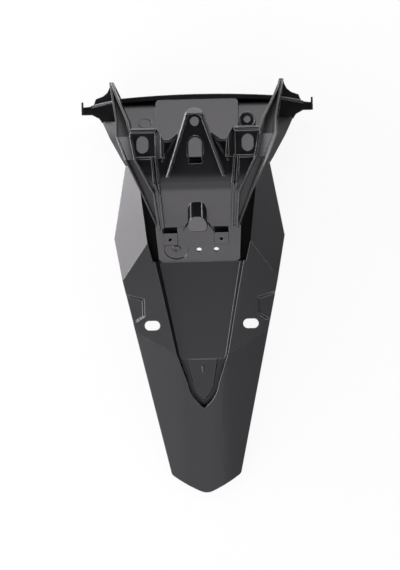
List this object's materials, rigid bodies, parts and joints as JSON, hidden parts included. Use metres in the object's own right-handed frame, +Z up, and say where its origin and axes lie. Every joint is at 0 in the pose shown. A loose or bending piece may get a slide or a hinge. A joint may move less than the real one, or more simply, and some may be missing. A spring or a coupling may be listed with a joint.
{
  "type": "motor scooter rear mudguard",
  "caption": "Black moulded rear mudguard: faceted tapering flap with number plate slots, sloping lamp plate and a ribbed arch bracket over a deck ending in a crossbar with side lugs.",
  "frame": {"origin": "centre of the bounding box on the table it lies on", "axes": "+X to the right seen from above, +Y along the mudguard from the flap's tip to the crossbar, +Z up off the table, out of the mudguard's outer face"},
  "size_m": [0.2668, 0.4754, 0.1573],
  "materials": {
    "black_plastic": "fine-grained semi-matt black polypropylene, as moulded"
  },
  "bodies": {
    "root": {"rear_mudguard": "black_plastic"}
  },
  "joints": []
}
